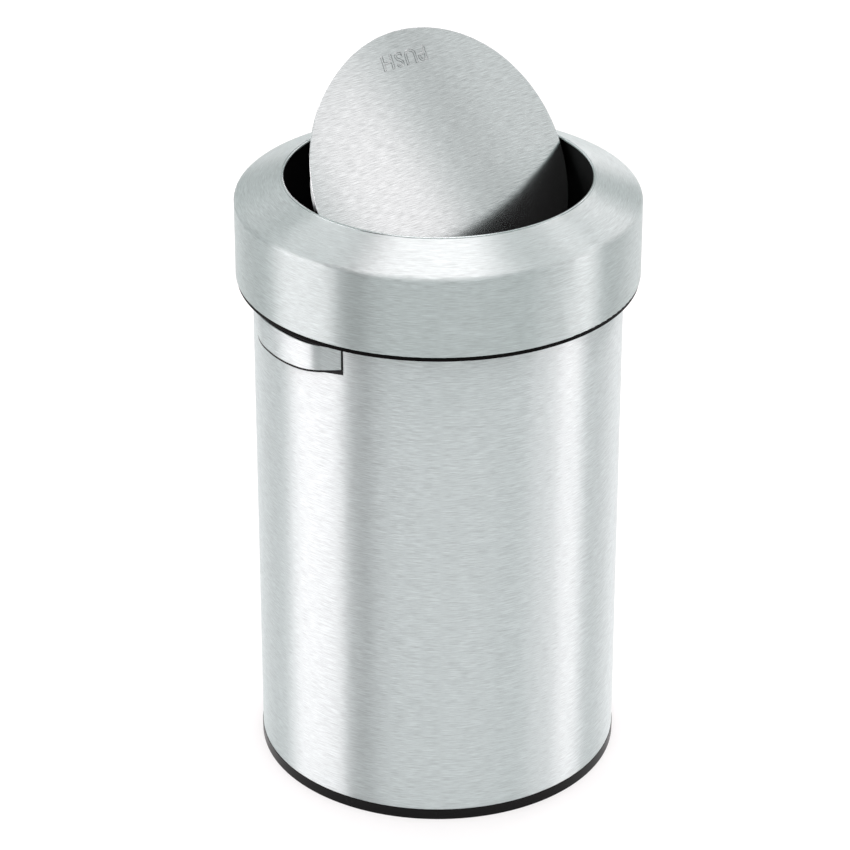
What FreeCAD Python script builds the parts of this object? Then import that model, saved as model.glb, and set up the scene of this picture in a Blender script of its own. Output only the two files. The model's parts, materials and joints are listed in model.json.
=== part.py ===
import FreeCAD, Part
import math
import os

# Swing-top bin, in millimetres and degrees.
# It stands on Z = 0 about the Z axis. The flap's hinge runs along X, and the front is towards -Y.

# Can tube
can_radius = 188.0
can_wall = 1.0
can_height = 600.0
rim_curl_radius = 3.5

# Base ring and bottom pan
base_height = 11.9
base_proud = 0.5
base_round = 0.5
base_top_round = 0.25
spigot_height = 14.0
spigot_wall = 2.2
tower_count = 6
tower_radius = 5.0
tower_set_in = 2.5
tower_foot = 4.0
pan_sheet = 0.8
pan_flange = 11.0
pan_round = 3.0
pan_border = 40.0
pan_dome = 3.0

# Handles: a steel strap on a black grip, one on each end of the hinge line
handle_reach = 10.0
strap_length = 142.0
strap_bend = 63.0
strap_end_slope = 33.2
strap_sheet = 1.0
strap_height = 30.5
strap_arch = 300.0
strap_drop = 11.1
grip_wall = 1.5
grip_top = 3.0
grip_top_drop = 0.6
grip_lip = 2.4
grip_lip_recess = 0.2
grip_end = 1.2
grip_foot = 16.0
finger_length = 80.0
grip_boss_length = 16.0

# Screws of the handles and the bottom
screw_radius = 2.0
screw_head_radius = 4.0
screw_head_height = 2.5
screw_head_round = 1.25
screw_bite = 14.0
screw_cover = 1.5
washer_radius = 5.5
washer_sheet = 1.0

# Collar
collar_overhang = 17.0
collar_overlap = 58.7
collar_wall_height = 83.5
collar_slope = 24.0
collar_sheet = 1.0
shoulder_round = 6.0
collar_foot = 3.0
collar_foot_bend = 0.5
opening_radius = 155.4
lip_hem = 8.0

# Collar liner
liner_wall = 2.5
skirt_drop = 4.5
skirt_band = 10.0
skirt_thickening = 1.5
skirt_round = 0.75
throat_recess = 0.4
throat_depth = 85.0
throat_draft = 1.0
rib_count = 16
rib_thickness = 2.0
guide_depth = 25.0
guide_lead = 5.0

# Flap
flap_gap = 3.1
flap_sheet = 1.5
flap_edge_round = 0.5
flap_proud = 1.1
flap_open = 60.0
flap_swing = 80.0

# Pivots
pin_radius = 2.5
bush_wall = 1.0
bush_flange = 1.0
post_wall = 1.5
post_length = 35.0
bore_end_wall = 1.0
ear_inset = 6.3
ear_sheet = 1.5
ear_length = 80.0
ear_depth = 16.0
ear_foot = 16.0
ear_foot_length = 22.0
ear_foot_spacing = 40.0
pin_head_radius = 4.6
pin_head_height = 3.0

# Counterweight
weight_length = 150.0
weight_width = 32.0
weight_height = 28.0
weight_round = 12.0
weight_lug = 6.0
stud_radius = 3.0
stud_offset = 9.0
stud_length = 16.0
nut_radius = 5.8
nut_height = 5.0

# Clearances
fit_gap = 0.2
glue_gap = 0.1
running_gap = 0.05
seat_gap = 0.3
guide_gap = 0.8
rim_gap = 2.0
liner_gap = 0.3
lip_gap = 0.4
post_gap = 0.45
side_play = 0.5

# Share of a sheet's edge that a full round takes up, and the overshoot of cutting tools
edge_fullness = 0.95
cut_margin = 1.0

# Derived levels and radii
Vec = FreeCAD.Vector
ORIGIN = Vec(0, 0, 0)
X_AXIS = Vec(1, 0, 0)
Z_AXIS = Vec(0, 0, 1)
TOUCHING = 1e-6
HEXAGON_SIDES = 6

can_inside = can_radius - can_wall
spigot_outside = can_inside - fit_gap
spigot_inside = spigot_outside - spigot_wall
spigot_top = base_height + spigot_height
pan_top = spigot_top + pan_flange
tower_circle = spigot_inside - tower_set_in

collar_radius = can_radius + collar_overhang
collar_bottom = can_height - collar_overlap
slope_rise = math.tan(math.radians(collar_slope))
slope_thickness = 1 / math.cos(math.radians(collar_slope))

strap_top = collar_bottom - strap_drop
strap_bottom = strap_top - strap_height
strap_face = can_radius + handle_reach
strap_end = strap_length / 2
strap_tip = can_radius + seat_gap + strap_sheet
end_slope = math.radians(strap_end_slope)
end_line = strap_tip * math.cos(end_slope - math.asin(strap_end / strap_tip))
bend_circle = strap_face - strap_bend
bend_start = end_slope - math.acos((end_line - strap_bend) / bend_circle)
grip_inset = strap_sheet + glue_gap
grip_half = strap_end + grip_end
grip_bottom = strap_bottom - grip_lip
screw_level = (strap_top + strap_bottom) / 2
screw_angle = math.degrees(math.asin((finger_length + grip_boss_length) / 2 / can_radius))

throat_radius = opening_radius + throat_recess
liner_outside = collar_radius - collar_sheet - liner_gap
skirt_bottom = collar_bottom - skirt_drop

bush_bore = pin_radius + running_gap
bush_outside = bush_bore + bush_wall
post_bore = bush_outside + running_gap
post_radius = post_bore + post_wall
pivot_depth = flap_sheet + post_gap + post_radius
flap_radius = opening_radius - flap_gap
flap_under = pivot_depth - flap_sheet
ear_face = flap_radius - ear_inset
post_face = ear_face + side_play + bush_flange
post_bore_end = opening_radius - lip_gap - bore_end_wall


def cone_level(radius):
    """Height of the collar's outside surface on its conical top."""
    return collar_bottom + collar_wall_height + (collar_radius - radius) * slope_rise


def liner_top_level(radius):
    """Height of the liner's web, which clears the hem of the collar's lip."""
    return cone_level(radius) - (2 * collar_sheet + liner_gap) * slope_thickness


def liner_under_level(radius):
    """Height of the underside of the liner's web."""
    return liner_top_level(radius) - liner_wall * slope_thickness


lip_level = cone_level(opening_radius)
throat_bottom = lip_level - throat_depth
hinge_level = lip_level + flap_proud - pivot_depth


def outline(corners):
    """Closed wire in the XZ plane through (x, z, rounding) corners."""
    points = [Vec(x, 0, z) for x, z, rounding in corners]
    starts = []
    ends = []
    edges = []
    for i, point in enumerate(points):
        rounding = corners[i][2]
        back = (points[i - 1] - point).normalize()
        ahead = (points[(i + 1) % len(points)] - point).normalize()
        half = back.getAngle(ahead) / 2
        reach = rounding / math.tan(half)
        starts.append(point + back * reach)
        ends.append(point + ahead * reach)
        if rounding:
            inward = (back + ahead).normalize()
            middle = point + inward * (rounding / math.sin(half) - rounding)
            edges.append(Part.Arc(starts[i], middle, ends[i]).toShape())
    for i, end in enumerate(ends):
        start = starts[(i + 1) % len(starts)]
        if end.distanceToPoint(start) > TOUCHING:
            edges.append(Part.makeLine(end, start))
    return Part.Wire(Part.__sortEdges__(edges))


def turned(corners, axis_point=ORIGIN):
    """Solid of revolution of (radius, z, rounding) corners about a vertical axis."""
    solid = Part.Face(outline(corners)).revolve(ORIGIN, Z_AXIS, 360)
    solid.translate(axis_point)
    return solid


def slab(corners, thickness):
    """Plate of (x, z, rounding) corners, centred on the XZ plane."""
    plate = Part.Face(outline(corners)).extrude(Vec(0, thickness, 0))
    plate.translate(Vec(0, -thickness / 2, 0))
    return plate


def block(low, high):
    """Box between two corners."""
    size = high - low
    return Part.makeBox(size.x, size.y, size.z, low)


def rod(radius, start, end, level=0.0):
    """Cylinder along X between two stations."""
    return Part.makeCylinder(radius, end - start, Vec(start, 0, level), X_AXIS)


def hexagon(radius, height, base, direction):
    """Hexagonal prism with the given corner radius."""
    turns = [2 * math.pi * i / HEXAGON_SIDES for i in range(HEXAGON_SIDES + 1)]
    sides = Part.makePolygon([Vec(radius * math.cos(turn), radius * math.sin(turn), 0) for turn in turns])
    prism = Part.Face(sides).extrude(Vec(0, 0, height))
    prism.Placement = FreeCAD.Placement(base, FreeCAD.Rotation(Z_AXIS, direction))
    return prism


def opposite(shape):
    """The same piece at the other end of the hinge line."""
    other = shape.copy()
    other.rotate(ORIGIN, Z_AXIS, 180)
    return other


def spun(shape, angle):
    """Copy of a shape turned about the Z axis."""
    copy = shape.copy()
    copy.rotate(ORIGIN, Z_AXIS, angle)
    return copy


def body_shell():
    """Sheet tube with its top edge curled outwards and holes for the handle screws."""
    curl_centre = can_inside + rim_curl_radius
    curl_level = can_height - rim_curl_radius
    curl_hollow = rim_curl_radius - can_wall

    def on_curl(radius, angle):
        turn = math.radians(angle)
        return Vec(curl_centre + radius * math.cos(turn), 0, curl_level + radius * math.sin(turn))

    outer = [on_curl(rim_curl_radius, angle) for angle in (180, 45, -90)]
    inner = [on_curl(curl_hollow, angle) for angle in (-90, 45, 180)]
    foot_in = Vec(can_inside, 0, base_height)
    foot_out = Vec(can_radius, 0, base_height)
    wire = Part.Wire([
        Part.makeLine(foot_in, outer[0]),
        Part.Arc(*outer).toShape(),
        Part.makeLine(outer[2], inner[0]),
        Part.Arc(*inner).toShape(),
        Part.makeLine(inner[2], foot_out),
        Part.makeLine(foot_out, foot_in),
    ])
    tube = Part.Face(wire).revolve(ORIGIN, Z_AXIS, 360)
    hole = rod(screw_radius + fit_gap, can_inside - cut_margin, can_radius + cut_margin)
    return tube.cut(handle_screw_set(hole))


def tower_set(shape):
    """Copies of a shape made at the first screw tower, one at each tower."""
    return [spun(shape, 360 / tower_count * (i + 0.5)) for i in range(tower_count)]


def base_ring():
    """Foot ring under the tube, with a spigot inside the tube and towers for the bottom screws."""
    outside = can_radius + base_proud
    ring = turned([
        (spigot_inside, 0, 0),
        (outside, 0, base_round),
        (outside, base_height, base_top_round),
        (spigot_outside, base_height, 0),
        (spigot_outside, spigot_top, 0),
        (spigot_inside, spigot_top, 0),
    ])
    tower_top = pan_top - pan_sheet
    tower = Part.makeCylinder(tower_radius, tower_top - tower_foot, Vec(tower_circle, 0, tower_foot))
    keep = Part.makeCylinder((spigot_inside + spigot_outside) / 2, tower_top)
    high = Part.makeCylinder(spigot_outside - pan_sheet - fit_gap - pan_round, tower_top)
    low = Part.makeCylinder(spigot_outside, spigot_top)
    tower = tower.common(keep).common(high.fuse(low))
    hole_depth = screw_bite + fit_gap
    hole_start = Vec(tower_circle, 0, tower_top - hole_depth)
    hole = Part.makeCylinder(screw_radius + fit_gap, hole_depth, hole_start)
    return ring.fuse(tower_set(tower)).cut(tower_set(hole)).removeSplitter()


def bottom_pan():
    """Pressed bottom: raised field, flat border with screw holes, and a turned-down flange."""
    outside = spigot_outside
    inside = outside - pan_sheet
    field = outside - pan_border
    under = pan_top - pan_sheet
    pan = turned([
        (0, pan_top + pan_dome, 0),
        (field - pan_dome, pan_top + pan_dome, pan_round),
        (field + pan_dome, pan_top, pan_round),
        (outside, pan_top, pan_round),
        (outside, spigot_top, 0),
        (inside, spigot_top, 0),
        (inside, under, pan_round - pan_sheet),
        (field + pan_dome, under, pan_round),
        (field - pan_dome, under + pan_dome, pan_round),
        (0, under + pan_dome, 0),
    ])
    hole_start = Vec(tower_circle, 0, under - cut_margin)
    hole = Part.makeCylinder(screw_radius + fit_gap, pan_sheet + 2 * cut_margin, hole_start)
    return pan.cut(tower_set(hole))


def base_screws():
    """Screws through the bottom into the base ring's towers."""
    shank_bottom = pan_top - pan_sheet - screw_bite
    shank = Part.makeCylinder(screw_radius, pan_top - shank_bottom, Vec(tower_circle, 0, shank_bottom))
    head = turned([
        (0, 0, 0),
        (screw_head_radius, 0, 0),
        (screw_head_radius, screw_head_height, screw_head_round),
        (0, screw_head_height, 0),
    ], Vec(tower_circle, 0, pan_top))
    return Part.makeCompound(tower_set(shank.fuse(head).removeSplitter()))


def from_axis(radius, angle):
    """Point at a distance and an angle from the bin's axis."""
    return Vec(radius * math.cos(angle), radius * math.sin(angle), 0)


def handle_prism(inset, low, high, half_length):
    """Prism between the tube and the strap's face moved in by an inset, cut square at both ends.

    The face is concentric with the tube in the middle, bends and runs straight into the tube at both ends.
    """
    face = strap_face - inset
    bend = strap_bend - inset
    middle_arc = Part.Arc(from_axis(face, -bend_start), from_axis(face, 0), from_axis(face, bend_start))
    edges = [middle_arc.toShape()]
    for side in (-1, 1):
        centre = from_axis(bend_circle, side * bend_start)
        middle = centre + from_axis(bend, side * (bend_start + end_slope) / 2)
        bend_end = centre + from_axis(bend, side * end_slope)
        line_end = from_axis(end_line - inset, side * end_slope)
        edges.append(Part.Arc(from_axis(face, side * bend_start), middle, bend_end).toShape())
        edges.append(Part.makeLine(bend_end, line_end))
        edges.append(Part.makeLine(line_end, ORIGIN))
    prism = Part.Face(Part.Wire(Part.__sortEdges__(edges))).extrude(Vec(0, 0, high - low))
    prism.translate(Vec(0, 0, low))
    tube = Part.makeCylinder(can_radius + fit_gap, high - low, Vec(0, 0, low))
    span = block(Vec(0, -half_length, low), Vec(strap_face + cut_margin, half_length, high))
    return prism.cut(tube).common(span)


def above_edge(level, arch_half):
    """Space above the right handle's lower edge, arched in the middle and level at both ends."""
    rise = strap_arch - math.sqrt(strap_arch ** 2 - arch_half ** 2)
    side = grip_half + cut_margin
    top = strap_top + cut_margin
    left = Vec(0, -arch_half, level + rise)
    right = Vec(0, arch_half, level + rise)
    arch = Part.Arc(left, Vec(0, 0, level), right).toShape()
    frame = Part.makePolygon([right, Vec(0, side, level + rise), Vec(0, side, top),
                              Vec(0, -side, top), Vec(0, -side, level + rise), left])
    return Part.Face(Part.Wire([arch, *frame.Edges])).extrude(Vec(strap_face + cut_margin, 0, 0))


def handle_strap():
    """Steel face of the right handle."""
    low = strap_bottom - cut_margin
    outer = handle_prism(0, low, strap_top, strap_end)
    hollow = handle_prism(strap_sheet, low, strap_top, strap_end)
    return outer.cut(hollow).common(above_edge(strap_bottom, strap_end + glue_gap))


def handle_grip():
    """Black finger pocket behind the right strap: open below, closed on top, solid at both tips."""
    low = grip_bottom - cut_margin
    top = strap_top - grip_top_drop
    strap_half = strap_end + glue_gap
    solid = handle_prism(grip_lip_recess, low, top, grip_half)
    solid = solid.common(above_edge(grip_bottom, grip_half - grip_foot))
    strap_room = handle_prism(0, low, strap_top, strap_half)
    strap_room = strap_room.common(above_edge(strap_bottom - glue_gap, strap_half))
    strap_room = strap_room.cut(handle_prism(grip_inset, low, strap_top, strap_half))
    pocket = handle_prism(grip_inset + grip_wall, low, top - grip_top, finger_length / 2)
    hole = rod(screw_radius + glue_gap, can_radius, screw_tip + fit_gap)
    return solid.cut([strap_room, pocket, *handle_screw_pair(hole)]).removeSplitter()


def strap_back(angle):
    """Distance from the bin's axis to the back of the strap's bend, at an angle from X."""
    turn = math.radians(angle) - bend_start
    across = bend_circle * math.sin(turn)
    return bend_circle * math.cos(turn) + math.sqrt((strap_bend - grip_inset) ** 2 - across ** 2)


screw_tip = strap_back(screw_angle) - screw_cover
washer_seat = can_inside - fit_gap


def handle_screw_pair(shape):
    """A shape made along X, at both screws of the right handle."""
    raised = shape.copy()
    raised.translate(Vec(0, 0, screw_level))
    return [spun(raised, angle) for angle in (-screw_angle, screw_angle)]


def handle_screw_set(shape):
    """A shape made along X, at all four handle screws."""
    pair = handle_screw_pair(shape)
    return pair + [opposite(one) for one in pair]


def handle_screws():
    """Screws from inside the tube into the tips of the grips."""
    head_face = washer_seat - washer_sheet
    shank = rod(screw_radius, head_face, screw_tip)
    head = turned([
        (0, 0, 0),
        (screw_head_radius, 0, 0),
        (screw_head_radius, screw_head_height, screw_head_round),
        (0, screw_head_height, 0),
    ])
    head.rotate(ORIGIN, Vec(0, 1, 0), -90)
    head.translate(Vec(head_face, 0, 0))
    return Part.makeCompound(handle_screw_set(shank.fuse(head).removeSplitter()))


def handle_washers():
    """Washers between the screw heads and the tube."""
    ring = rod(washer_radius, washer_seat - washer_sheet, washer_seat)
    bore = rod(screw_radius + fit_gap, washer_seat - washer_sheet, washer_seat)
    return Part.makeCompound(handle_screw_set(ring.cut(bore)))


def collar_shell():
    """Steel collar: turned-in lower edge, wall, conical top and a hemmed lip."""
    inside = collar_radius - collar_sheet
    hem_drop = 2 * collar_sheet * slope_thickness
    slope = math.radians(collar_slope)
    hem_end = opening_radius + lip_hem * math.cos(slope)
    hem_level = lip_level - hem_drop - lip_hem * math.sin(slope)
    nose = collar_sheet * edge_fullness
    return turned([
        (collar_radius - collar_foot, collar_bottom, 0),
        (collar_radius, collar_bottom, collar_foot_bend + collar_sheet),
        (collar_radius, cone_level(collar_radius), shoulder_round),
        (opening_radius, lip_level, nose),
        (opening_radius, lip_level - hem_drop, nose),
        (hem_end, hem_level, 0),
        (hem_end + collar_sheet * math.sin(slope), hem_level + collar_sheet * math.cos(slope), 0),
        (inside, cone_level(inside) - collar_sheet * slope_thickness, shoulder_round - collar_sheet),
        (inside, collar_bottom + collar_sheet, collar_foot_bend),
        (collar_radius - collar_foot, collar_bottom + collar_sheet, 0),
    ])


def throat_inside(level):
    """Inside radius of the drafted throat at a height."""
    return throat_radius + (lip_level - level) * math.tan(math.radians(throat_draft))


def liner_skin():
    """Turned form of the liner: throat, conical web, outer wall and the skirt below the collar."""
    web_inside = throat_radius + liner_wall
    wall_inside = liner_outside - liner_wall
    band_inside = wall_inside - skirt_thickening
    tip_round = liner_wall / 2 * edge_fullness
    band_top = skirt_bottom + skirt_band
    groove = collar_radius - collar_foot - liner_gap
    return turned([
        (throat_radius, liner_top_level(throat_radius), 0),
        (throat_inside(throat_bottom), throat_bottom, tip_round),
        (throat_inside(throat_bottom) + liner_wall, throat_bottom, tip_round),
        (web_inside, liner_under_level(web_inside), 0),
        (wall_inside, liner_under_level(wall_inside), shoulder_round - liner_wall),
        (wall_inside, band_top, 0),
        (band_inside, band_top - skirt_thickening, 0),
        (band_inside, skirt_bottom, skirt_round),
        (liner_outside, skirt_bottom, skirt_round),
        (liner_outside, collar_bottom - liner_gap, 0),
        (groove, collar_bottom - liner_gap, 0),
        (groove, collar_bottom + collar_sheet + liner_gap, 0),
        (liner_outside, collar_bottom + collar_sheet + liner_gap, 0),
        (liner_outside, liner_top_level(liner_outside), shoulder_round),
    ])


def liner_rib():
    """Gusset between throat and wall, notched to sit on the can's rim and centre the collar."""
    bite = liner_wall / 2
    seat = can_height + seat_gap
    low = can_height - guide_depth
    guide = can_inside - guide_gap
    outer_leg = can_inside + 2 * rim_curl_radius + rim_gap
    wall = liner_outside - bite
    inner_top = throat_radius + bite
    inner_low = throat_inside(low) + bite
    return slab([
        (inner_low, low, 0),
        (guide - guide_lead, low, 0),
        (guide, low + guide_lead, 0),
        (guide, seat, 0),
        (outer_leg, seat, 0),
        (outer_leg, low + guide_lead, 0),
        (wall, low, 0),
        (wall, liner_under_level(wall) + bite - shoulder_round, 0),
        (wall - shoulder_round, liner_under_level(wall - shoulder_round) + bite, 0),
        (inner_top, liner_under_level(inner_top) + bite, 0),
    ], rib_thickness)


def pivot_post():
    """Tapered post on the throat wall that carries the right pivot.

    Its flanks lie along the underside of the flap at the two ends of the swing, so they stop it.
    """
    swing = math.radians(flap_swing)
    across = post_radius * math.sin(swing)
    crest = post_radius * math.cos(swing)
    foot_across = across + post_length * math.cos(swing)
    foot_level = crest - post_length * math.sin(swing)
    left = Vec(0, -across, crest)
    right = Vec(0, across, crest)
    left_foot = Vec(0, -foot_across, foot_level)
    right_foot = Vec(0, foot_across, foot_level)
    wire = Part.Wire([
        Part.Arc(left, Vec(0, 0, post_radius), right).toShape(),
        Part.makeLine(right, right_foot),
        Part.makeLine(right_foot, left_foot),
        Part.makeLine(left_foot, left),
    ])
    reach = throat_radius + liner_wall / 2 - post_face
    post = Part.Face(wire).extrude(Vec(reach, 0, 0))
    post.translate(Vec(post_face, 0, hinge_level))
    lip_side = Part.makeCylinder(opening_radius - lip_gap, lip_level + post_radius)
    under_lip = liner_top_level(throat_radius) - liner_gap
    wall_side = Part.makeCylinder(collar_radius, under_lip)
    return post.common(lip_side.fuse(wall_side))


def collar_liner():
    """Black moulding inside the collar, with gusset ribs and the two pivot posts."""
    rib = liner_rib()
    ribs = [spun(rib, 360 / rib_count * (i + 0.5)) for i in range(rib_count)]
    post = pivot_post()
    bore = rod(post_bore, post_face, post_bore_end, hinge_level)
    liner = liner_skin().fuse(ribs + [post, opposite(post)])
    return liner.cut([bore, opposite(bore)]).removeSplitter()


def pivot_bush():
    """Flanged bearing bush in the right post."""
    sleeve = rod(bush_outside, post_face, post_bore_end, hinge_level)
    flange = rod(post_radius, post_face - bush_flange, post_face, hinge_level)
    bore = rod(bush_bore, post_face - bush_flange, post_bore_end, hinge_level)
    return sleeve.fuse(flange).cut(bore).removeSplitter()


def swung(shape):
    """Flap piece, made with the flap shut and the hinge at the origin, set at its open rest angle."""
    piece = shape.copy()
    piece.rotate(ORIGIN, X_AXIS, flap_open)
    piece.translate(Vec(0, 0, hinge_level))
    return piece


def flap_disc():
    """Round plate with eased edges."""
    return turned([
        (0, flap_under, 0),
        (flap_radius, flap_under, flap_edge_round),
        (flap_radius, pivot_depth, flap_edge_round),
        (0, pivot_depth, 0),
    ])


def pivot_ear():
    """Right ear: a rounded leg with the pin's hole, and two feet welded under the plate."""
    half = ear_length / 2
    low = pivot_depth - ear_depth
    leg_face = Part.Face(Part.Wire([
        Part.Arc(Vec(0, -half, flap_under), Vec(0, 0, low), Vec(0, half, flap_under)).toShape(),
        Part.makeLine(Vec(0, half, flap_under), Vec(0, -half, flap_under)),
    ]))
    leg = leg_face.extrude(Vec(ear_sheet, 0, 0))
    leg.translate(Vec(ear_face - ear_sheet, 0, 0))
    foot_low = Vec(ear_face - ear_foot, (ear_foot_spacing - ear_foot_length) / 2, flap_under - ear_sheet)
    foot = block(foot_low, Vec(ear_face, (ear_foot_spacing + ear_foot_length) / 2, flap_under))
    other_foot = foot.mirror(ORIGIN, Vec(0, 1, 0))
    hole = rod(pin_radius + glue_gap, ear_face - ear_sheet, ear_face)
    return leg.fuse([foot, other_foot]).cut(hole).removeSplitter()


def pivot_pin():
    """Right pivot pin: a hexagon head behind the ear and a plain shank into the bush."""
    head_face = ear_face - ear_sheet
    shank = rod(pin_radius, head_face, post_bore_end - side_play)
    head = hexagon(pin_head_radius, pin_head_height, Vec(head_face, 0, 0), -X_AXIS)
    return shank.fuse(head).removeSplitter()


def counterweight():
    """Cast bar under the plate, with a rounded belly and a lug for a stud at each end."""
    half = weight_width / 2
    low = flap_under - weight_height
    bar = slab([
        (-half, flap_under, 0),
        (half, flap_under, 0),
        (half, low, weight_round),
        (-half, low, weight_round),
    ], weight_length)
    bar.rotate(ORIGIN, Z_AXIS, 90)
    stud_station = weight_length / 2 + stud_offset
    lug_low = flap_under - weight_lug
    lug_end = Part.makeCylinder(half, weight_lug, Vec(stud_station, 0, lug_low))
    lug_root = block(Vec(0, -half, lug_low), Vec(stud_station, half, flap_under))
    lug = lug_end.fuse(lug_root)
    hole = Part.makeCylinder(stud_radius + fit_gap, weight_lug, Vec(stud_station, 0, lug_low))
    return bar.fuse([lug, opposite(lug)]).cut([hole, opposite(hole)]).removeSplitter()


def stud_pair(shape):
    """A shape made on the hinge's Z axis, at both studs and set with the flap."""
    moved = shape.copy()
    moved.translate(Vec(weight_length / 2 + stud_offset, 0, 0))
    return Part.makeCompound([swung(moved), swung(opposite(moved))])


def weight_studs():
    """Studs welded under the plate."""
    return stud_pair(Part.makeCylinder(stud_radius, stud_length, Vec(0, 0, flap_under - stud_length)))


def weight_nuts():
    """Nuts that hold the counterweight on its studs."""
    seat = flap_under - weight_lug
    nut = hexagon(nut_radius, nut_height, Vec(0, 0, seat - nut_height), Z_AXIS)
    bore = Part.makeCylinder(stud_radius + glue_gap, nut_height, Vec(0, 0, seat - nut_height))
    return stud_pair(nut.cut(bore))


grip = handle_grip()
strap = handle_strap()
bush = pivot_bush()
ear = pivot_ear()
pin = pivot_pin()

nodes = {
    "body_shell": body_shell(),
    "base_ring": base_ring(),
    "bottom_pan": bottom_pan(),
    "base_screws": base_screws(),
    "right_handle_grip": grip,
    "left_handle_grip": opposite(grip),
    "right_handle_strap": strap,
    "left_handle_strap": opposite(strap),
    "handle_screws": handle_screws(),
    "handle_washers": handle_washers(),
    "collar_shell": collar_shell(),
    "collar_liner": collar_liner(),
    "right_pivot_bush": bush,
    "left_pivot_bush": opposite(bush),
    "flap_disc": swung(flap_disc()),
    "right_pivot_ear": swung(ear),
    "left_pivot_ear": swung(opposite(ear)),
    "right_pivot_pin": swung(pin),
    "left_pivot_pin": swung(opposite(pin)),
    "counterweight": swung(counterweight()),
    "weight_studs": weight_studs(),
    "weight_nuts": weight_nuts(),
}

os.makedirs("parts", exist_ok=True)
for name, shape in nodes.items():
    shape.exportStep("parts/" + name + ".step")
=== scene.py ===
import json
import math
from collections import namedtuple

import bpy
from mathutils import Matrix, Vector


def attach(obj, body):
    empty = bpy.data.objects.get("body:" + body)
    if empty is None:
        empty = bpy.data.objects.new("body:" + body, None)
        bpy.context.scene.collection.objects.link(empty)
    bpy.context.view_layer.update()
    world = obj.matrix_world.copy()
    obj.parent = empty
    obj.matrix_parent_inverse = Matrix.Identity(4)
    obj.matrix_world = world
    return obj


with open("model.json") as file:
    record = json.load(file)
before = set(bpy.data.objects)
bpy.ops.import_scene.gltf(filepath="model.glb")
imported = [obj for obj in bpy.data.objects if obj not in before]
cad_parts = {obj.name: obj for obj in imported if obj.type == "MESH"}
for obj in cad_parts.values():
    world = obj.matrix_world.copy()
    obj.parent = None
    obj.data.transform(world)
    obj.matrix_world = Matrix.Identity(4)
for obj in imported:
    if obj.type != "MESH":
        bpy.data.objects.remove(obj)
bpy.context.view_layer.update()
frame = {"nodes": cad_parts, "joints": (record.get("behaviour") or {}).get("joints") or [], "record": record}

# Swing-top bin of brushed steel, in metres. The flap's hinge runs along X, and the front is towards -Y.

# Groups of values that belong together
Light = namedtuple("Light", "across upright radiance")
Grain = namedtuple("Grain", "coordinates tangent turn")
Plastic = namedtuple("Plastic", "colour roughness gloss grain_depth")
Plating = namedtuple("Plating", "colour roughness")

# Camera: it stands to the left of the front and looks down on the bin
CAMERA_TURN = math.radians(37.93)
CAMERA_DISTANCE = 3.2045
CAMERA_HEIGHT = 2.0312
CAMERA_PITCH = math.radians(27.507)
CAMERA_YAW = math.radians(-0.2393)
SENSOR_WIDTH = 36.0
FOCAL_PIXELS = 3486.88
IMAGE_PIXELS = 850

# Floor. The lift is the share of plain white that the camera and mirrors see in it.
FLOOR_HALF = 40.0
FLOOR_COLOUR = (0.92, 0.92, 0.92, 1)
FLOOR_LIFT = 0.6
WHITE = (1, 1, 1, 1)

# Studio round the bin. The panels' light is a little warm.
AMBIENT = 0.965
PANEL_RED = 0.19
PANEL_BLUE = 0.03

# Lights by azimuth and elevation. Azimuth 0 is towards the camera and positive to its right.
# A span holds its low and high limit and the softness of each edge, in degrees.
# A limit past 180 degrees ends the span at the seam behind the bin.
LEFT_PANEL = Light((-97, -57, 14, 5), (-10, 16, 4, 14), 4.6)
RIGHT_PANEL = Light((76, 94, 8, 5), (-10, 9, 4, 6), 6.8)
RIGHT_SPILL = Light((56, 79, 12, 8), (-10, 5, 4, 6), 4.0)
BACK_PANEL = Light((163, 200, 8, 1), (-10, 12, 4, 14), 2.4)
RIGHT_WINDOW = Light((134, 154, 8, 8), (22, 60, 12, 12), 2.4)
LEFT_WINDOW = Light((-160, -136, 14, 10), (20, 46, 14, 14), 0.65)
PANELS = (LEFT_PANEL, RIGHT_PANEL, RIGHT_SPILL, BACK_PANEL, RIGHT_WINDOW, LEFT_WINDOW)
LEFT_GAP = Light((-132, -106, 8, 8), (-10, 20, 4, 16), -0.42)
RIGHT_GAP = Light((100, 132, 6, 10), (-10, 20, 4, 16), -0.42)
BACK_GAP = Light((-200, -166, 1, 6), (-10, 20, 4, 16), -0.6)
GAPS = (LEFT_GAP, RIGHT_GAP, BACK_GAP)

# The flag's last value is the share of light that it holds back
DARK_FLAG = Light((-57, -39.5, 2, 2), (-10, 70, 4, 20), 1.0)

# Strip overhead, by its lean sideways and away from the camera
TOP_STRIP = Light((-21, 17, 10, 10), (-16, 26, 14, 14), 3.4)

# Lights that the open flap mirrors, by the angle towards +X, along the hinge, and by elevation
FLAP_SHADE = Light((25, 46, 3, 4), (9, 60, 4, 12), -0.175)
FLAP_GLEAM = Light((29.0, 33.9, 3.0, 3.2), (9, 32, 4, 9), 0.42)
FLAP_LINE = Light((35.6, 37.8, 1.4, 1.6), (9, 60, 4, 12), -0.1)

# Brushed steel. Streaks are counted along and across the grain.
STEEL = (0.632, 0.695, 0.695)
# The collar's steel is darker than the can's: painted shade for the darker studio that it mirrors.
COLLAR_STEEL_PAINTED_SHADE = (0.508, 0.575, 0.57)
FLAP_STEEL = (0.655, 0.70, 0.70)
STEEL_ROUGHNESS = 0.45
FLAP_ROUGHNESS = 0.1
FLAP_METAL = 0.98
UNDERSIDE_ROUGHNESS = 0.4
STREAKS_PER_METRE = (80.0, 2200.0)
STREAK_SHADE = 0.16
FLAP_STREAKS_PER_METRE = (75.0, 1400.0)
FLAP_STREAK_SHADE = 0.22
STREAK_RANGE = (0.25, 0.75)
STREAK_DETAIL = 3.0
STREAK_GAIN = 0.62
STREAK_ROUGHNESS = 0.12
STREAK_BUMP = 0.00001
QUARTER_TURN = 0.25

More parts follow.
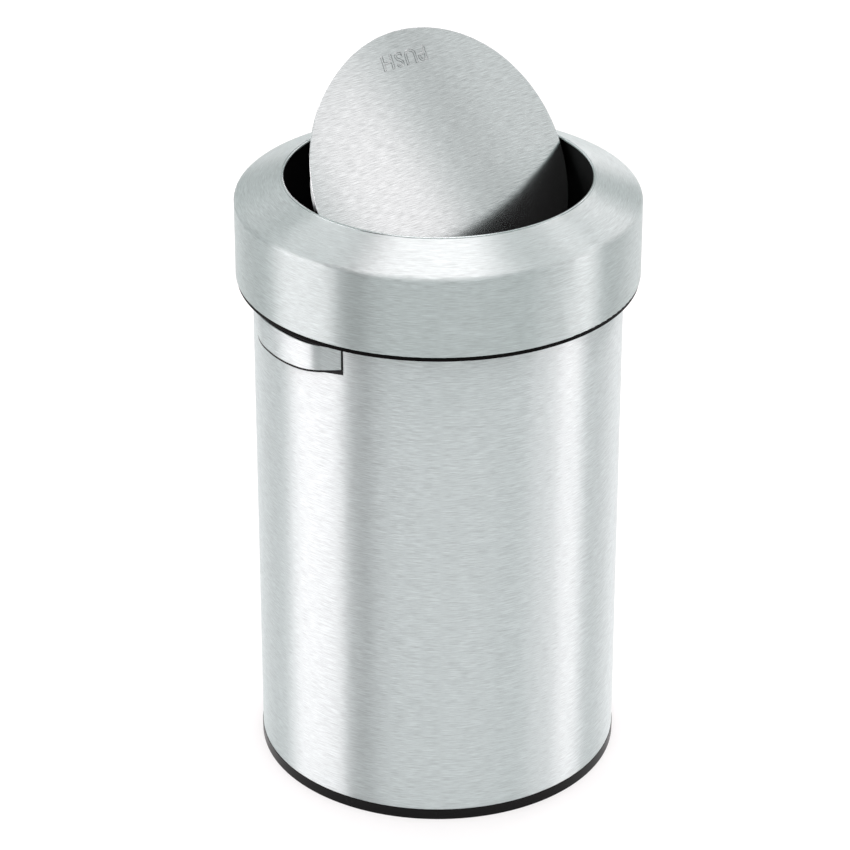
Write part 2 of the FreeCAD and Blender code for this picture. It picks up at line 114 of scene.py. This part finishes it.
# Flap. The slight crown of its sheet is a drop per square metre: along the hinge, diagonally and across it.
# The face depth is how far below its upper face the flap still counts as that face.
FLAP_OPEN = math.radians(60)
FLAP_CROWN = 0.125
FLAP_TWIST = 0.1125
FLAP_BOW = 0.1875
FACE_DEPTH = 0.0003

# Plastics, platings and cast iron
PLASTICS = {
    "black_base": Plastic((0.003, 0.003, 0.0032), 0.3, 0.12, 0.00002),
    "black_liner": Plastic((0.001, 0.001, 0.001), 0.5, 0.05, 0.00003),
    "black_grip": Plastic((0.012, 0.0125, 0.013), 0.45, 0.1, 0.00003),
    "nylon": Plastic((0.006, 0.006, 0.006), 0.4, 0.1, 0.00001),
}
PLASTIC_GRAIN_SCALE = 900.0
PLASTIC_CLOUD_SCALE = 14.0
PLASTIC_DETAIL = 2.0
PLASTIC_UNEVENNESS = 0.04
PLATINGS = {
    "zinc_sheet": Plating((0.5, 0.52, 0.53), 0.5),
    "fastener": Plating((0.6, 0.61, 0.62), 0.3),
}
PLATING_CLOUD_SCALE = 60.0
PLATING_DETAIL = 4.0
PLATING_SHADES = (0.92, 1.06)
PLATING_UNEVENNESS = 0.06
IRON = (0.045, 0.045, 0.047)
IRON_SKIN_SCALE = 350.0
IRON_DETAIL = 5.0
IRON_SKIN_DEPTH = 0.0004
IRON_ROUGHNESS = (0.5, 0.7)
CLOUD_RANGE = (0.3, 0.7)

# Rolled bead round the mouth. Its steel is darker than the collar's: painted shade, a dark line along the
# rim.
HEM_HALF = 0.001
BEAD_RADIUS = 0.0016
BEAD_STEEL_PAINTED_SHADE = (0.34, 0.395, 0.39)
BEAD_ROUGHNESS = 0.25
BEAD_STEPS = 288
BEAD_SIDES = 16

# Word on the flap. The capital share is a capital's height over the size of the font.
WORD = "PUSH"
WORD_LENGTH = 0.055
WORD_FROM_HINGE = 0.1235
LETTER_HEIGHT = 0.0157
LETTER_RIB = 0.00045
LETTER_RIB_STEPS = 2
LETTER_SPREAD = 0.0001
LETTER_SPACING = 1.12
CAPITAL_SHARE = 0.69
# The letters' steel is darker than the flap's: painted shade for the shaded edges of the embossed strokes.
LETTER_STEEL_PAINTED_SHADE = (0.28, 0.305, 0.305)
LETTER_ROUGHNESS = 0.3

hinge = next(Vector(joint["pos_m"]) for joint in frame["joints"] if joint["name"] == "flap_swing")


class Nodes:
    """Short way to write a shader's node tree."""

    def __init__(self, tree):
        self.tree = tree
        tree.nodes.clear()

    def add(self, kind, inputs=None, **settings):
        """New node. An input is linked to a socket or set to a value."""
        made = self.tree.nodes.new("ShaderNode" + kind)
        for name, value in settings.items():
            setattr(made, name, value)
        self.feed(made, inputs or {})
        return made

    def feed(self, node, inputs):
        """Links each named input of a node to a socket, or sets it to a value."""
        for name, value in inputs.items():
            if isinstance(value, bpy.types.NodeSocket):
                self.tree.links.new(value, node.inputs[name])
            else:
                node.inputs[name].default_value = value

    def math(self, operation, *values):
        """Output of a Math node."""
        return self.add("Math", dict(enumerate(values)), operation=operation).outputs[0]

    def total(self, first, *others):
        """Sum of several values."""
        for other in others:
            first = self.math("ADD", first, other)
        return first

    def product(self, first, *others):
        """Product of several values."""
        for other in others:
            first = self.math("MULTIPLY", first, other)
        return first

    def ramp(self, value, low, high, start=0.0, end=1.0):
        """Value mapped smoothly from low..high to start..end."""
        inputs = {"Value": value, "From Min": low, "From Max": high, "To Min": start, "To Max": end}
        return self.add("MapRange", inputs, interpolation_type="SMOOTHSTEP").outputs[0]

    def window(self, angle, span):
        """1 inside a span of angles and 0 outside it, with soft edges."""
        low, high, soft_low, soft_high = (math.radians(limit) for limit in span)
        rise = self.ramp(angle, low - soft_low / 2, low + soft_low / 2)
        fall = self.ramp(angle, high - soft_high / 2, high + soft_high / 2)
        return self.math("SUBTRACT", rise, fall)

    def patch(self, across, upright, light):
        """A light's radiance where both angles lie in its spans, and 0 elsewhere."""
        inside = self.product(self.window(across, light.across), self.window(upright, light.upright))
        return self.product(inside, light.radiance)

    def noise(self, place, scale, detail):
        """Value of a noise at a place."""
        return self.add("TexNoise", {"Vector": place, "Scale": scale, "Detail": detail}).outputs[0]

    def tint(self, colour, shade):
        """Colour made lighter or darker by a shade."""
        return self.add("VectorMath", {0: colour, "Scale": shade}, operation="SCALE").outputs[0]

    def bump(self, height, distance=1.0):
        """Normal of a relief."""
        return self.add("Bump", {"Height": height, "Distance": distance, "Strength": 1.0}).outputs[0]


def studio_world():
    """World of soft panels, a dark flag and a strip overhead."""
    world = bpy.data.worlds.new("studio")
    world.use_nodes = True
    nodes = Nodes(world.node_tree)
    direction = nodes.add("TexCoord").outputs["Generated"]
    turned = nodes.add("VectorRotate", {"Vector": direction, "Angle": CAMERA_TURN}, rotation_type="Z_AXIS")
    right, away, up = nodes.add("SeparateXYZ", {"Vector": turned.outputs[0]}).outputs
    azimuth = nodes.math("ARCTAN2", right, nodes.product(away, -1.0))
    elevation = nodes.math("ARCSINE", up)
    hinge_angle = nodes.math("ARCSINE", nodes.add("SeparateXYZ", {"Vector": direction}).outputs["X"])
    sideways = nodes.math("ARCTAN2", right, up)
    lengthways = nodes.math("ARCTAN2", away, up)
    before_bin = nodes.math("LESS_THAN", away, 0.0)

    def around(light):
        return nodes.patch(azimuth, elevation, light)

    def along_hinge(light):
        return nodes.product(before_bin, nodes.patch(hinge_angle, elevation, light))

    gaps = [around(light) for light in GAPS]
    panels = [around(light) for light in PANELS]
    plain = nodes.total(AMBIENT, *gaps, along_hinge(FLAP_SHADE), along_hinge(FLAP_LINE))
    warm = nodes.total(*panels, along_hinge(FLAP_GLEAM))
    open_sky = nodes.math("SUBTRACT", 1.0, around(DARK_FLAG))
    plain = nodes.product(plain, open_sky)
    warm = nodes.total(nodes.product(warm, open_sky), nodes.patch(sideways, lengthways, TOP_STRIP))
    light = nodes.total(plain, warm)
    red = nodes.total(light, nodes.product(warm, PANEL_RED))
    blue = nodes.total(light, nodes.product(warm, PANEL_BLUE))
    colour = nodes.add("CombineXYZ", {"X": red, "Y": light, "Z": blue}).outputs[0]
    background = nodes.add("Background", {"Color": colour, "Strength": 1.0})
    nodes.add("OutputWorld", {"Surface": background.outputs[0]})
    bpy.context.scene.world = world


def white_floor():
    """Pale floor that shows as white and keeps the bin's soft shadow."""
    half = FLOOR_HALF
    corners = [(-half, -half, 0), (half, -half, 0), (half, half, 0), (-half, half, 0)]
    mesh = bpy.data.meshes.new("floor")
    mesh.from_pydata(corners, [], [(0, 1, 2, 3)])
    floor = bpy.data.objects.new("floor", mesh)
    bpy.context.scene.collection.objects.link(floor)
    material = bpy.data.materials.new("floor_white")
    material.use_nodes = True
    nodes = Nodes(material.node_tree)
    rays = nodes.add("LightPath").outputs
    seen = nodes.math("MAXIMUM", rays["Is Camera Ray"], rays["Is Glossy Ray"])
    seen = nodes.math("MAXIMUM", seen, rays["Is Transmission Ray"])
    lift = nodes.product(seen, FLOOR_LIFT)
    plain = nodes.add("BsdfDiffuse", {"Color": FLOOR_COLOUR})
    white = nodes.add("Emission", {"Color": WHITE, "Strength": 1.0})
    mixed = nodes.add("MixShader", {0: lift, 1: plain.outputs[0], 2: white.outputs[0]})
    nodes.add("OutputMaterial", {"Surface": mixed.outputs[0]})
    mesh.materials.append(material)


def photo_camera():
    """Camera at the photograph's place and angle."""
    data = bpy.data.cameras.new("camera")
    data.sensor_width = SENSOR_WIDTH
    data.lens = SENSOR_WIDTH * FOCAL_PIXELS / IMAGE_PIXELS
    camera = bpy.data.objects.new("camera", data)
    turn = Matrix.Rotation(-CAMERA_TURN, 3, "Z")
    camera.location = turn @ Vector((0, -CAMERA_DISTANCE, CAMERA_HEIGHT))
    level = math.cos(CAMERA_PITCH)
    gaze = Vector((math.sin(CAMERA_YAW) * level, math.cos(CAMERA_YAW) * level, -math.sin(CAMERA_PITCH)))
    camera.rotation_mode = "QUATERNION"
    camera.rotation_quaternion = (turn @ gaze).to_track_quat("-Z", "Y")
    bpy.context.scene.collection.objects.link(camera)
    bpy.context.scene.camera = camera


def principled(name):
    """New material with a Principled shader, and its node writer and shader."""
    material = bpy.data.materials.new(name)
    material.use_nodes = True
    nodes = Nodes(material.node_tree)
    shader = nodes.add("BsdfPrincipled")
    nodes.add("OutputMaterial", {"Surface": shader.outputs[0]})
    return material, nodes, shader


def object_place(nodes):
    """Place on the piece, in the part's own frame."""
    return nodes.add("TexCoord").outputs["Object"]


def around_coordinates(nodes):
    """Coordinates along and across a grain that runs round the Z axis."""
    x, y, z = nodes.add("SeparateXYZ", {"Vector": object_place(nodes)}).outputs
    flat = nodes.add("CombineXYZ", {"X": x, "Y": y}).outputs[0]
    radius = nodes.add("VectorMath", {0: flat}, operation="LENGTH").outputs["Value"]
    across = nodes.math("SUBTRACT", z, radius)
    along, over = STREAKS_PER_METRE
    scaled = {"X": nodes.product(x, along), "Y": nodes.product(y, along), "Z": nodes.product(across, over)}
    return nodes.add("CombineXYZ", scaled).outputs[0]


def flap_place(nodes):
    """Distances along the hinge, up the open flap and out of its face, from the middle of the hinge."""
    x, y, z = nodes.add("SeparateXYZ", {"Vector": object_place(nodes)}).outputs
    height = nodes.math("SUBTRACT", z, hinge.z)
    cosine, sine = math.cos(FLAP_OPEN), math.sin(FLAP_OPEN)
    up_plate = nodes.total(nodes.product(y, cosine), nodes.product(height, sine))
    off_plate = nodes.math("SUBTRACT", nodes.product(height, cosine), nodes.product(y, sine))
    return x, up_plate, off_plate


def flap_coordinates(nodes):
    """Coordinates along and across a grain that runs along the hinge of the open flap."""
    x, up_plate, _ = flap_place(nodes)
    along, over = FLAP_STREAKS_PER_METRE
    scaled = {"X": nodes.product(x, along), "Y": nodes.product(up_plate, over)}
    return nodes.add("CombineXYZ", scaled).outputs[0]


def flap_crown(nodes):
    """Height of the slight crown of the flap's sheet, in metres."""
    x, up_plate, _ = flap_place(nodes)
    crowned = nodes.product(x, x, -FLAP_CROWN)
    twisted = nodes.product(x, up_plate, -FLAP_TWIST)
    bowed = nodes.product(up_plate, up_plate, -FLAP_BOW)
    return nodes.total(crowned, twisted, bowed)


def flap_roughening(nodes):
    """Roughness added on the flap's underside."""
    _, _, off_plate = flap_place(nodes)
    underside = nodes.math("LESS_THAN", off_plate, flap_top() - FACE_DEPTH)
    return nodes.product(underside, UNDERSIDE_ROUGHNESS - FLAP_ROUGHNESS)


# Grain round the bin, and along the flap's hinge
ROUND_GRAIN = Grain(around_coordinates, (0, 0, 1), 0.0)
FLAP_GRAIN = Grain(flap_coordinates, (1, 0, 0), QUARTER_TURN)


def brushed_steel(name, colour, roughness, grain, contrast=STREAK_SHADE, metal=1.0,
                  crown=None, roughening=None):
    """Steel with a fine brushed grain, which stretches reflections across it."""
    material, nodes, shader = principled(name)
    place = grain.coordinates(nodes)
    inputs = {"Vector": place, "Scale": 1.0, "Detail": STREAK_DETAIL, "Roughness": STREAK_GAIN}
    streak = nodes.add("TexNoise", inputs).outputs[0]
    shade = nodes.ramp(streak, *STREAK_RANGE, 1 - contrast, 1 + contrast)
    dullest, glossiest = roughness * (1 + STREAK_ROUGHNESS), roughness * (1 - STREAK_ROUGHNESS)
    varied = nodes.ramp(streak, *STREAK_RANGE, dullest, glossiest)
    height = nodes.product(streak, STREAK_BUMP)
    if crown:
        height = nodes.total(height, crown(nodes))
    if roughening:
        varied = nodes.total(varied, roughening(nodes))
    tangent = nodes.add("CombineXYZ", dict(zip("XYZ", grain.tangent)))
    # Plain values for viewers that leave out the nodes
    nodes.feed(shader, {"Base Color": (*colour, 1), "Roughness": roughness})
    nodes.feed(shader, {
        "Base Color": nodes.tint(colour, shade),
        "Roughness": varied,
        "Metallic": metal,
        "Anisotropic": 1.0,
        "Anisotropic Rotation": grain.turn,
        "Normal": nodes.bump(height),
        "Tangent": tangent.outputs[0],
    })
    return material


def moulded_plastic(name, plastic):
    """Black plastic with the fine grain of its mould."""
    material, nodes, shader = principled(name)
    place = object_place(nodes)
    grain = nodes.noise(place, PLASTIC_GRAIN_SCALE, PLASTIC_DETAIL)
    cloud = nodes.noise(place, PLASTIC_CLOUD_SCALE, PLASTIC_DETAIL)
    glossiest, dullest = plastic.roughness - PLASTIC_UNEVENNESS, plastic.roughness + PLASTIC_UNEVENNESS
    nodes.feed(shader, {
        "Base Color": (*plastic.colour, 1),
        "Specular IOR Level": plastic.gloss,
        "Roughness": nodes.ramp(cloud, *CLOUD_RANGE, glossiest, dullest),
        "Normal": nodes.bump(grain, plastic.grain_depth),
    })
    return material


def plated(name, plating):
    """Zinc plated metal with faint clouding."""
    material, nodes, shader = principled(name)
    cloud = nodes.noise(object_place(nodes), PLATING_CLOUD_SCALE, PLATING_DETAIL)
    shade = nodes.ramp(cloud, *CLOUD_RANGE, *PLATING_SHADES)
    dullest, glossiest = plating.roughness + PLATING_UNEVENNESS, plating.roughness - PLATING_UNEVENNESS
    nodes.feed(shader, {
        "Base Color": nodes.tint(plating.colour, shade),
        "Roughness": nodes.ramp(cloud, *CLOUD_RANGE, dullest, glossiest),
        "Metallic": 1.0,
    })
    return material


def cast_iron(name):
    """Coated casting with a coarse skin."""
    material, nodes, shader = principled(name)
    skin = nodes.noise(object_place(nodes), IRON_SKIN_SCALE, IRON_DETAIL)
    nodes.feed(shader, {
        "Base Color": (*IRON, 1),
        "Roughness": nodes.ramp(skin, *CLOUD_RANGE, *IRON_ROUGHNESS),
        "Normal": nodes.bump(skin, IRON_SKIN_DEPTH),
    })
    return material


def slot_materials():
    """One finished material for each slot of the record."""
    materials = {
        "can_steel": brushed_steel("can_steel_brushed", STEEL, STEEL_ROUGHNESS, ROUND_GRAIN),
        # The collar's darker steel is painted shade.
        "collar_steel": brushed_steel("collar_steel_brushed_painted_shade", COLLAR_STEEL_PAINTED_SHADE, STEEL_ROUGHNESS, ROUND_GRAIN),
        "strap_steel": brushed_steel("strap_steel_brushed", STEEL, STEEL_ROUGHNESS, ROUND_GRAIN),
        "flap_steel": brushed_steel("flap_steel_brushed", FLAP_STEEL, FLAP_ROUGHNESS, FLAP_GRAIN,
                                    FLAP_STREAK_SHADE, FLAP_METAL, flap_crown, flap_roughening),
        "iron_weight": cast_iron("iron_weight_cast"),
    }
    for slot, plastic in PLASTICS.items():
        materials[slot] = moulded_plastic(slot + "_plastic", plastic)
    for slot, plating in PLATINGS.items():
        materials[slot] = plated(slot + "_plate", plating)
    return materials


def finish_nodes(materials):
    """Gives every piece of the frame its finished material."""
    for row in frame["record"]["subparts"]:
        mesh = frame["nodes"][row["node"]].data
        mesh.materials.clear()
        mesh.materials.append(materials[row["material_slot"]])


def flap_top():
    """Distance of the flap's upper face from the hinge line."""
    normal = Vector((0, -math.sin(FLAP_OPEN), math.cos(FLAP_OPEN)))
    return max((vertex.co - hinge).dot(normal) for vertex in frame["nodes"]["flap_disc"].data.vertices)


def word_mesh():
    """Outlines of the word's letters as thin ribs, centred on the origin and facing +Z."""
    curve = bpy.data.curves.new("word", "FONT")
    curve.body = WORD
    curve.align_x = "CENTER"
    curve.fill_mode = "NONE"
    curve.offset = LETTER_SPREAD
    curve.space_character = LETTER_SPACING
    curve.bevel_depth = LETTER_RIB
    curve.bevel_resolution = LETTER_RIB_STEPS
    curve.size = LETTER_HEIGHT / CAPITAL_SHARE
    text = bpy.data.objects.new("word", curve)
    bpy.context.scene.collection.objects.link(text)
    graph = bpy.context.evaluated_depsgraph_get()
    mesh = bpy.data.meshes.new_from_object(text.evaluated_get(graph))
    bpy.data.objects.remove(text)
    low = Vector(min(vertex.co[i] for vertex in mesh.vertices) for i in range(3))
    high = Vector(max(vertex.co[i] for vertex in mesh.vertices) for i in range(3))
    middle = (low + high) / 2
    wide = WORD_LENGTH / (high.x - low.x)
    tall = LETTER_HEIGHT / (high.y - low.y)
    mesh.transform(Matrix.Diagonal((wide, tall, 1, 1)) @ Matrix.Translation((-middle.x, -middle.y, 0)))
    return mesh


def flap_words(steel):
    """The word at both ends of the flap, each to be read from its own side."""
    tilt = Matrix.Translation(hinge) @ Matrix.Rotation(FLAP_OPEN, 4, "X")
    for name, turn in (("front_word", 0.0), ("rear_word", math.pi)):
        mesh = word_mesh()
        place = Matrix.Rotation(turn, 4, "Z") @ Matrix.Translation((0, -WORD_FROM_HINGE, flap_top()))
        mesh.transform(tilt @ place)
        mesh.materials.clear()
        mesh.materials.append(steel)
        word = bpy.data.objects.new(name, mesh)
        bpy.context.scene.collection.objects.link(word)
        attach(word, "flap")


def mouth_bead(steel):
    """Rolled bead round the folded lip of the collar's mouth."""
    lip = [vertex.co for vertex in frame["nodes"]["collar_shell"].data.vertices]
    radius = min(math.hypot(point.x, point.y) for point in lip) + HEM_HALF
    level = max(point.z for point in lip) - HEM_HALF
    points = []
    faces = []
    for step in range(BEAD_STEPS):
        around = 2 * math.pi * step / BEAD_STEPS
        here = step * BEAD_SIDES
        after = (step + 1) % BEAD_STEPS * BEAD_SIDES
        for side in range(BEAD_SIDES):
            turn = 2 * math.pi * side / BEAD_SIDES
            reach = radius + BEAD_RADIUS * math.cos(turn)
            height = level + BEAD_RADIUS * math.sin(turn)
            points.append((reach * math.cos(around), reach * math.sin(around), height))
            beside = (side + 1) % BEAD_SIDES
            faces.append((here + side, after + side, after + beside, here + beside))
    mesh = bpy.data.meshes.new("mouth_bead")
    mesh.from_pydata(points, [], faces)
    mesh.shade_smooth()
    mesh.materials.append(steel)
    bead = bpy.data.objects.new("mouth_bead", mesh)
    bpy.context.scene.collection.objects.link(bead)
    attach(bead, "lid_ring")


bpy.context.scene.view_settings.view_transform = "Standard"
studio_world()
white_floor()
photo_camera()
finish_nodes(slot_materials())
# The bead's darker steel paints a shaded line round the mouth's rim.
mouth_bead(brushed_steel("bead_steel_painted_shade", BEAD_STEEL_PAINTED_SHADE, BEAD_ROUGHNESS, ROUND_GRAIN))
# The letters' darker steel is painted shade on the embossed strokes.
flap_words(brushed_steel("letter_steel_painted_shade", LETTER_STEEL_PAINTED_SHADE, LETTER_ROUGHNESS, FLAP_GRAIN))
